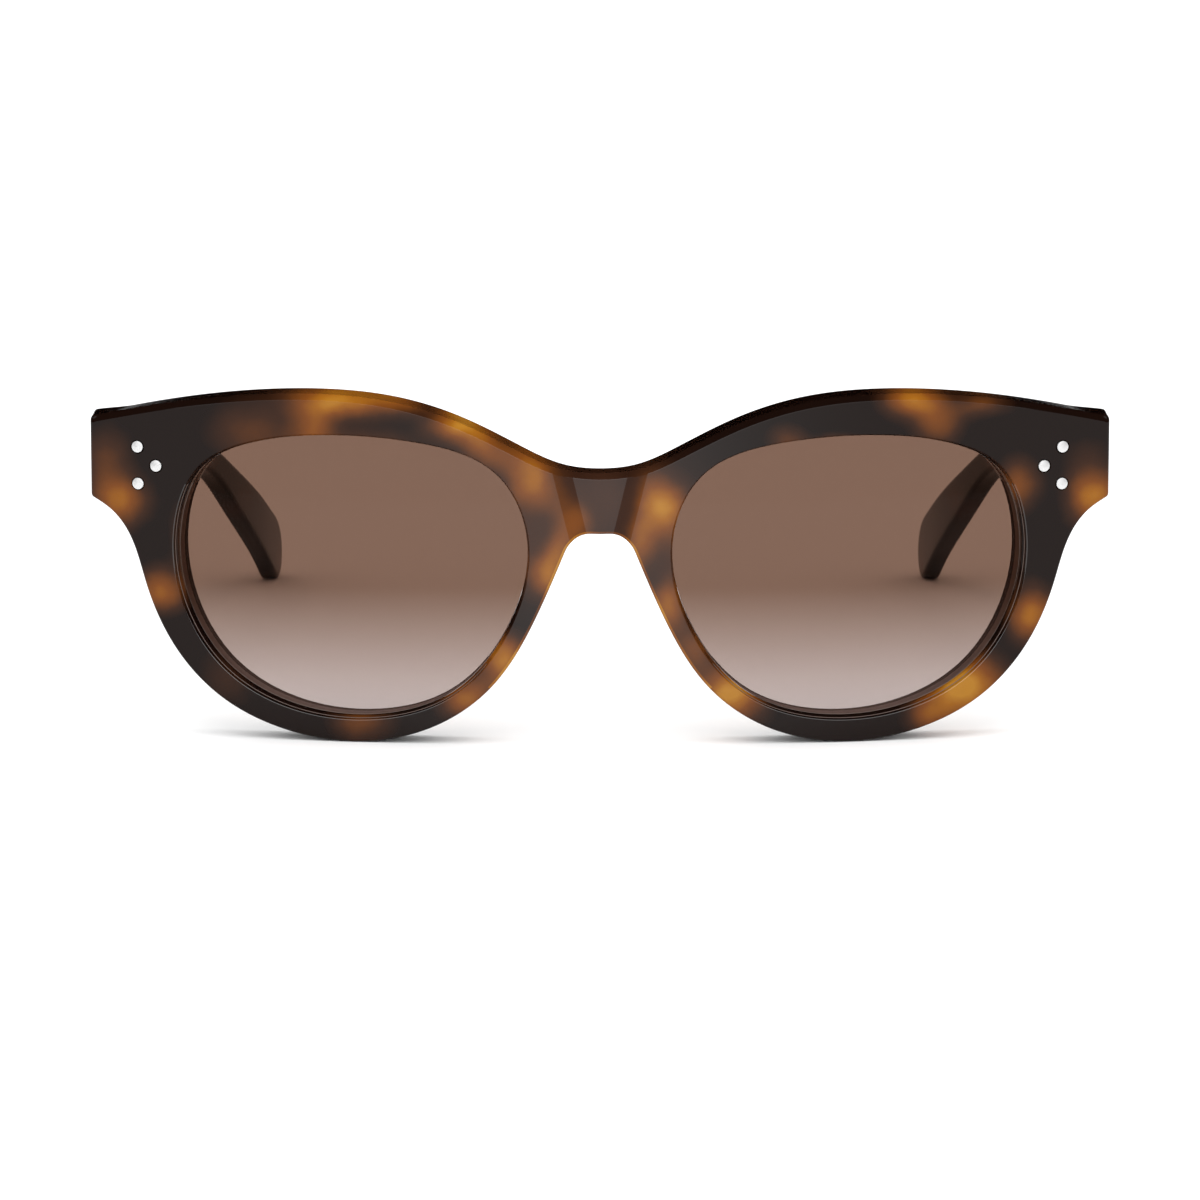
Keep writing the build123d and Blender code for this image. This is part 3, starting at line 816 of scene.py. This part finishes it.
class EYEWEAR_OT_front(bpy.types.Operator):
    """Builds the bent acetate front, with its bridge facets and rivet recesses"""
    bl_idname = "eyewear.front"
    bl_label = "Front"

    def execute(self, context):
        sizes = context.scene.front_sizes
        recess, chamfer, radius = sizes.recess / MM, sizes.chamfer / MM, sizes.face_radius / MM
        brow = brow_curve()
        gap = below_brow(brow)
        steps = [chamfer - SLANT_LINE, chamfer + SLANT_LINE]
        outline, facet_spots, slant_spots = front_outline(sizes.half_width / MM), [], []
        for step in steps:
            outline, marks = with_crossings(outline, lambda x, z: gap(x, z) - step)
            slant_spots.append(tuple(outline[marks[0]]))
        for reach in (RECESS_OUTER, RECESS_INNER):
            outline, marks = with_crossings(outline, lambda x, z: x - facet_line(reach, z), RECESS_LIMIT)
            facet_spots += [tuple(outline[k]) for k in marks]
        index = {tuple(q): k for k, q in enumerate(outline)}
        outer_top, outer_low, inner_top, inner_low = marks = [index[q] for q in facet_spots]
        slant = [max(0.0, 1 - max(0.0, x - SLANT_END) / SLANT_FADE) if gap(x, z) < SLANT_NEAR else 0.0
                 for x, z in outline]
        edges = [Edge(outline, False, sizes.edge_round / MM, marks=marks, slant=np.array(slant) * math.pi / 4,
                      bands=NOTCH_STRIPS, shown=lambda line, normals: (
                          (line[:, 0] < NOTCH_REACH) & (line[:, 1] > NOTCH_LOW) & (line[:, 1] < NOTCH_HIGH))),
                 Edge(smooth_curve(APERTURE, closed=True)[:-1], True, OPENING_ROUND, is_hole=True,
                      wall=OPENING_WALL, bands=OPENING_STRIPS,
                      shown=lambda line, normals: normals @ OPENING_SEEN > SEEN_LEAST)]
        lean = math.asin(RIVET_GROUP[0] / radius)
        for along, up in RIVET_SPOTS:
            edges.append(rivet_recess(radius * math.sin(lean + along / radius), RIVET_GROUP[1] + up))

        def sunk(u, v):
            far, near = facet_line(RECESS_OUTER, v), facet_line(RECESS_INNER, v)
            panel = recess * min(1.0, max(0.0, (far - abs(u)) / (far - near)))
            return panel + min(chamfer, max(0.0, chamfer - gap(u, v)))

        creases = []
        for reach, top, low in ((RECESS_OUTER, outer_top, outer_low), (RECESS_INNER, inner_top, inner_low)):
            heights = np.linspace(outline[top][1], outline[low][1], FACET_POINTS)[1:-1]
            creases.append((top, low, [(facet_line(reach, z), z) for z in heights], True))
        slopes = np.gradient(brow[:, 1], brow[:, 0])
        for step, mark in zip(steps, slant_spots):
            spots = [(x, z - step * math.hypot(1, slope)) for (x, z), slope in zip(brow, slopes)
                     if x < mark[0] - LINE_CLEAR]
            creases.append((None, index[mark], spots, True))
        mesh = Plate(edges, lambda u, v, depth: on_face(u * MM, v * MM, depth * MM), sizes.thickness / MM,
                     sunk, creases).build()
        add_mirror_image(mesh)
        obj = finish_mesh(mesh, "front_sheet", [
            acetate("front_acetate"), acetate("polished_rounding", polished=True),
            # The lens seat finish is painted light on the shaded ledge behind the lens.
            # The lit edge finish is a painted glow on the thin edge by the nose.
            matt("lens_seat_painted_light", sizes.seat_painted_light, GROUND_ROUGHNESS), acetate("lit_edge", glow=sizes.painted_edge_glow)])
        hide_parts("front_frame")
        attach(obj, "front")
        return {"FINISHED"}


def lens_depth(x, z, inset):
    """Depth behind the face, square to it, at which the lens's sphere lies."""
    sizes = bpy.context.scene.lens_sizes
    middle = on_face(LENS_CENTRE[0] * MM, LENS_CENTRE[1] * MM, sizes.set_back + sizes.radius)
    start = on_face(x, z, 0.0)
    inward = (on_face(x, z, MM) - start).normalized()
    arm = start - middle
    half = arm.dot(inward)
    return -half - math.sqrt(half ** 2 - arm.length_squared + (sizes.radius - inset) ** 2)


def lens_mesh(sizes):
    """Left lens as two spherical faces of rings round the middle, joined by an edge."""
    rim = Edge(smooth_curve(APERTURE, closed=True, pitch=1.0)[:-1], True, 0.0, is_hole=True)
    loop = rim.inset(-sizes.edge_gap / MM)
    middle = np.array(LENS_CENTRE)
    shares = [k / LENS_RINGS for k in range(1, LENS_RINGS + 1)]
    mesh = bmesh.new()
    outer_rings = []
    for inset, flip in ((0.0, False), (sizes.thickness, True)):
        def spot(q):
            x, z = q[0] * MM, q[1] * MM
            return mesh.verts.new(on_face(x, z, lens_depth(x, z, inset)))
        hub = spot(middle)
        previous = None
        for share in shares:
            ring = [spot(middle + (q - middle) * share) for q in loop]
            for k in range(len(ring)):
                n = (k + 1) % len(ring)
                corners = [hub, ring[k], ring[n]] if previous is None else [
                    previous[k], ring[k], ring[n], previous[n]]
                mesh.faces.new(corners[::-1] if flip else corners)
            previous = ring
        outer_rings.append(previous)
    front, back = outer_rings
    for k in range(len(front)):
        n = (k + 1) % len(front)
        mesh.faces.new([front[k], back[k], back[n], front[n]]).material_index = 1
        for a, b in ((front[k], front[n]), (back[k], back[n])):
            mesh.edges.get((a, b)).smooth = False
    return mesh


class EYEWEAR_OT_lenses(bpy.types.Operator):
    """Builds the two tinted lenses"""
    bl_idname = "eyewear.lenses"
    bl_label = "Lenses"

    def execute(self, context):
        sizes = context.scene.lens_sizes
        finishes = [lens_tint(), matt("lens_ground_edge", sizes.ground, GROUND_ROUGHNESS)]
        for side in SIDES:
            obj = finish_mesh(lens_mesh(sizes), f"lens_glass_{side}", finishes, side, level=False)
            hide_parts(f"lens_{side}")
            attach(obj, "front")
        return {"FINISHED"}


def pad_mesh(sizes, rows=28, around=32):
    """Left nose pad: rings along the rim's flank, full in the middle and glued to the front's back."""
    top, bottom = Vector(sizes.top), Vector(sizes.bottom)
    glued = bpy.context.scene.front_sizes.thickness - PAD_SINK
    mesh = bmesh.new()
    rings = []
    for i in range(rows + 1):
        t = math.sin(math.pi / 2 * (-1 + 2 * i / rows))
        swell = math.sqrt(max(0.0, 1 - abs(t) ** PAD_FULLNESS)) + PAD_BLUNT
        middle = (top + bottom) / 2 + (bottom - top) / 2 * t
        foot = on_face(middle[0], middle[1], glued)
        ring = []
        for k in range(around):
            a = 2 * math.pi * k / around
            back = max(0.0, math.sin(a)) ** PAD_ARCH * sizes.stand * swell
            ring.append(mesh.verts.new(foot + Vector((math.cos(a) * sizes.half_width * swell, back, 0))))
        rings.append(ring)
    for a, b in zip(rings[:-1], rings[1:]):
        band(mesh, a, b)
    for ring in (rings[0], rings[-1]):
        mesh.faces.new(ring)
    return mesh


class EYEWEAR_OT_pads(bpy.types.Operator):
    """Builds the two nose pads behind the rims"""
    bl_idname = "eyewear.pads"
    bl_label = "Nose pads"

    def execute(self, context):
        finishes = [acetate("pad_acetate")]
        for side in SIDES:
            obj = finish_mesh(pad_mesh(context.scene.pad_sizes), f"pad_{side}", finishes, side, level=False)
            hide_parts(f"nose_pad_{side}")
            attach(obj, "front")
        return {"FINISHED"}


def temple_bend():
    """Function from a temple's side view and depth to the row frame."""
    front, sizes = bpy.context.scene.front_sizes, bpy.context.scene.temple_sizes
    plan = smooth_curve(TEMPLE_PLAN)
    reach = (front.face_radius - front.thickness - sizes.end_gap) / MM
    radius = front.face_radius / MM

    def bend(u, v, depth):
        thin = min(1.0, max(0.0, (u - THINS_FROM) / THINS_OVER)) * (1 - sizes.tip_thickness / sizes.thickness)
        x = float(np.interp(u, plan[:, 0], plan[:, 1])) - depth * (1 - thin)
        fade = max(0.0, 1 - (u - temple_start()) / END_FADE)
        end = radius - math.sqrt(reach ** 2 - x ** 2)
        y = u + (end - temple_start()) * fade * fade
        return Vector((x * MM, front_plane() + y * MM, v * MM))

    return bend


def temple_start():
    """Y of the outer corner of a temple's front end, back from the bridge."""
    front, sizes = bpy.context.scene.front_sizes, bpy.context.scene.temple_sizes
    reach = front.face_radius - front.thickness - sizes.end_gap
    return (front.face_radius - math.sqrt(reach ** 2 - front.half_width ** 2)) / MM


def temple_outline():
    """Closed side view of a temple, clockwise from a spot on its upper line."""
    start = temple_start()
    top = smooth_curve(TEMPLE_TOP)
    bottom = smooth_curve(TEMPLE_BOTTOM)
    tip = smooth_curve([TEMPLE_TOP[-1]] + TEMPLE_TIP + [TEMPLE_BOTTOM[0]],
                       start=(top[-1] - top[-2]) / np.linalg.norm(top[-1] - top[-2]),
                       end=(bottom[1] - bottom[0]) / np.linalg.norm(bottom[1] - bottom[0]))
    upper = np.array([start, np.interp(start, top[:, 0], top[:, 1])])
    lower = np.array([start, np.interp(start, bottom[::-1, 0], bottom[::-1, 1])])
    top, bottom = [line[line[:, 0] > start + END_CLEAR] for line in (top, bottom)]
    around = np.vstack([top[TEMPLE_FIRST:], tip[1:-1], bottom, [lower]])
    end = evenly(np.array([lower, upper]), SEAM_PITCH)
    return chain_with_rounds([around, end, np.vstack([[upper], top[:TEMPLE_FIRST]])], TEMPLE_CORNER_ROUND)


class EYEWEAR_OT_temples(bpy.types.Operator):
    """Builds the two temples, with the recesses round their rivets"""
    bl_idname = "eyewear.temples"
    bl_label = "Temples"

    def execute(self, context):
        sizes = context.scene.temple_sizes
        edges = [Edge(temple_outline(), True, sizes.edge_round / MM)]
        for number in (1, 2):
            low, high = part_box(f"temple_rivet_{number}_left")
            centre = ((low[1] + high[1]) / 2 - front_plane(), (low[2] + high[2]) / 2)
            edges.append(rivet_recess(centre[0] / MM, centre[1] / MM))
        for side in SIDES:
            mesh = Plate(edges, temple_bend(), sizes.thickness / MM).build()
            finishes = [acetate(f"temple_acetate_{side}", temple=True)]
            obj = finish_mesh(mesh, f"temple_sheet_{side}", finishes, side)
            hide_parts(f"temple_{side}")
            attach(obj, f"temple_{side}_arm")
        return {"FINISHED"}


class EYEWEAR_OT_metalwork(bpy.types.Operator):
    """Finishes the rivets, hinge leaves, screws and core wires"""
    bl_idname = "eyewear.metalwork"
    bl_label = "Metalwork"

    def execute(self, context):
        finishes = {
            "rivet": metal("polished_rivet", (0.78, 0.78, 0.78), 0.50),
            "leaf": metal("satin_hinge", (0.72, 0.70, 0.66), 0.26, brushed=True),
            "screw": metal("turned_screw", (0.80, 0.80, 0.80), 0.20),
            "core": metal("rolled_core", (0.66, 0.63, 0.58), 0.30, brushed=True)}
        for name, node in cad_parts.items():
            for word, material in finishes.items():
                if word in name:
                    for slot in node.material_slots:
                        slot.material = material
        return {"FINISHED"}


# -------- stage

STAGE_WHITE, STAGE_ROUGHNESS = (0.93, 0.93, 0.93), 0.9
FLOOR_REACH, FLOOR_DROP = 8, 0.00005  # metres from the middle, and below the front
SENSOR_WIDTH = 36  # millimetres


def area_light(name, power, width, height, place, aim=(0, 0, 0)):
    """Soft rectangular light at a place, facing a point."""
    data = bpy.data.lights.new(name, "AREA")
    data.shape = "RECTANGLE"
    data.size, data.size_y = width, height
    data.energy = power
    obj = add_object(name, data)
    obj.location = place
    obj.rotation_euler = (Vector(aim) - Vector(place)).to_track_quat("-Z", "Y").to_euler()
    return obj


class EYEWEAR_OT_stage(bpy.types.Operator):
    """Lays the pale floor and sets the lights and the camera"""
    bl_idname = "eyewear.stage"
    bl_label = "Stage"

    def execute(self, context):
        studio = context.scene.studio_settings
        sheet = bmesh.new()
        bmesh.ops.create_grid(sheet, x_segments=8, y_segments=8, size=FLOOR_REACH)
        obj = finish_mesh(sheet, "floor", [matt("stage_white", STAGE_WHITE, STAGE_ROUGHNESS)], level=False)
        obj.location.z = -FLOOR_DROP
        world = bpy.data.worlds.new("studio")
        world.use_nodes = True
        background = world.node_tree.nodes["Background"]
        background.inputs["Color"].default_value = (1, 1, 1, 1)
        background.inputs["Strength"].default_value = studio.sky
        world.cycles_visibility.glossy = False
        context.scene.world = world
        key = area_light("key", studio.key_power, width=1.6, height=1.6, place=(0, -0.35, 1.5))
        key.visible_glossy = False
        card = area_light("card", studio.card_power, width=2.4, height=1.2, place=(0, -1.35, 0.95),
                          aim=(0, 0, 0.02))
        card.visible_diffuse = False
        aim = Vector((0, front_plane(), studio.camera_aim))
        rise = studio.camera_rise
        camera_data = bpy.data.cameras.new("camera")
        camera_data.lens = studio.focal_length
        camera_data.sensor_width = SENSOR_WIDTH
        camera = add_object("camera", camera_data)
        camera.location = aim + studio.camera_distance * Vector((0, -math.cos(rise), math.sin(rise)))
        camera.rotation_euler = (math.pi / 2 - rise, 0, 0)
        context.scene.camera = camera
        context.scene.view_settings.view_transform = "Standard"
        return {"FINISHED"}


class EYEWEAR_PT_panel(bpy.types.Panel):
    """Lists the pieces and their settings"""
    bl_idname = "EYEWEAR_PT_panel"
    bl_label = "Cat Eye Sunglasses"
    bl_space_type = "VIEW_3D"
    bl_region_type = "UI"
    bl_category = "Eyewear"

    def draw(self, context):
        for operator in OPERATORS:
            self.layout.operator(operator.bl_idname)
        for name in SETTINGS:
            group = getattr(context.scene, name)
            box = self.layout.box()
            for key in group.__annotations__:
                box.prop(group, key)


SETTINGS = {"front_sizes": FrontSizes, "lens_sizes": LensSizes, "pad_sizes": PadSizes,
            "temple_sizes": TempleSizes, "rivet_sizes": RivetSizes, "acetate_finish": AcetateFinish,
            "studio_settings": StudioSettings}
OPERATORS = (EYEWEAR_OT_front, EYEWEAR_OT_lenses, EYEWEAR_OT_pads, EYEWEAR_OT_temples,
             EYEWEAR_OT_metalwork, EYEWEAR_OT_stage)
CLASSES = (*SETTINGS.values(), *OPERATORS, EYEWEAR_PT_panel)


def register():
    for kind in CLASSES:
        bpy.utils.register_class(kind)
    for name, group in SETTINGS.items():
        setattr(bpy.types.Scene, name, PointerProperty(type=group))


def unregister():
    for name in SETTINGS:
        delattr(bpy.types.Scene, name)
    for kind in reversed(CLASSES):
        bpy.utils.unregister_class(kind)


def main():
    register()
    for step in ("front", "lenses", "pads", "temples", "metalwork", "stage"):
        getattr(bpy.ops.eyewear, step)()


if __name__ == "__main__":
    main()
